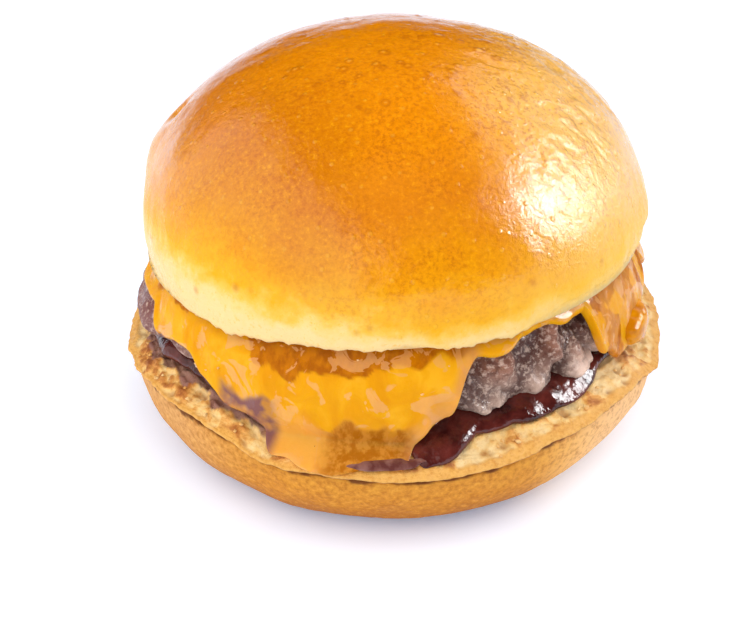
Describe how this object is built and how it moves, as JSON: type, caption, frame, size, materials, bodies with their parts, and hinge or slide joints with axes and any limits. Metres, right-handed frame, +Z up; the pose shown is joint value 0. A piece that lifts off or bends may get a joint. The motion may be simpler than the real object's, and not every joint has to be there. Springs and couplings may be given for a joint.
{
  "type": "cheeseburger",
  "caption": "Round cheeseburger: a beef patty under a draped melted cheese slice, on dark sauce, in a domed glazed bun.",
  "frame": {"origin": "middle of the flat spot under the bun's heel, on the burger's middle line", "axes": "+Z up through the layers, -Y towards the burger's front, +X to its right seen from the front"},
  "size_m": [0.1063, 0.1078, 0.0789],
  "materials": {
    "heel_crust": "matte baked crust, with a cream torn crumb on its cut face",
    "sauce": "wet and glossy",
    "beef": "lumpy griddled mince with moist highlights",
    "cheese": "smooth, glossy and melted",
    "crown_crust": "glossy egg-washed crust, paler towards the lip"
  },
  "bodies": {
    "root": {"bun_heel": "heel_crust", "sauce": "sauce", "patty": "beef", "cheese": "cheese", "bun_crown": "crown_crust"}
  },
  "joints": []
}
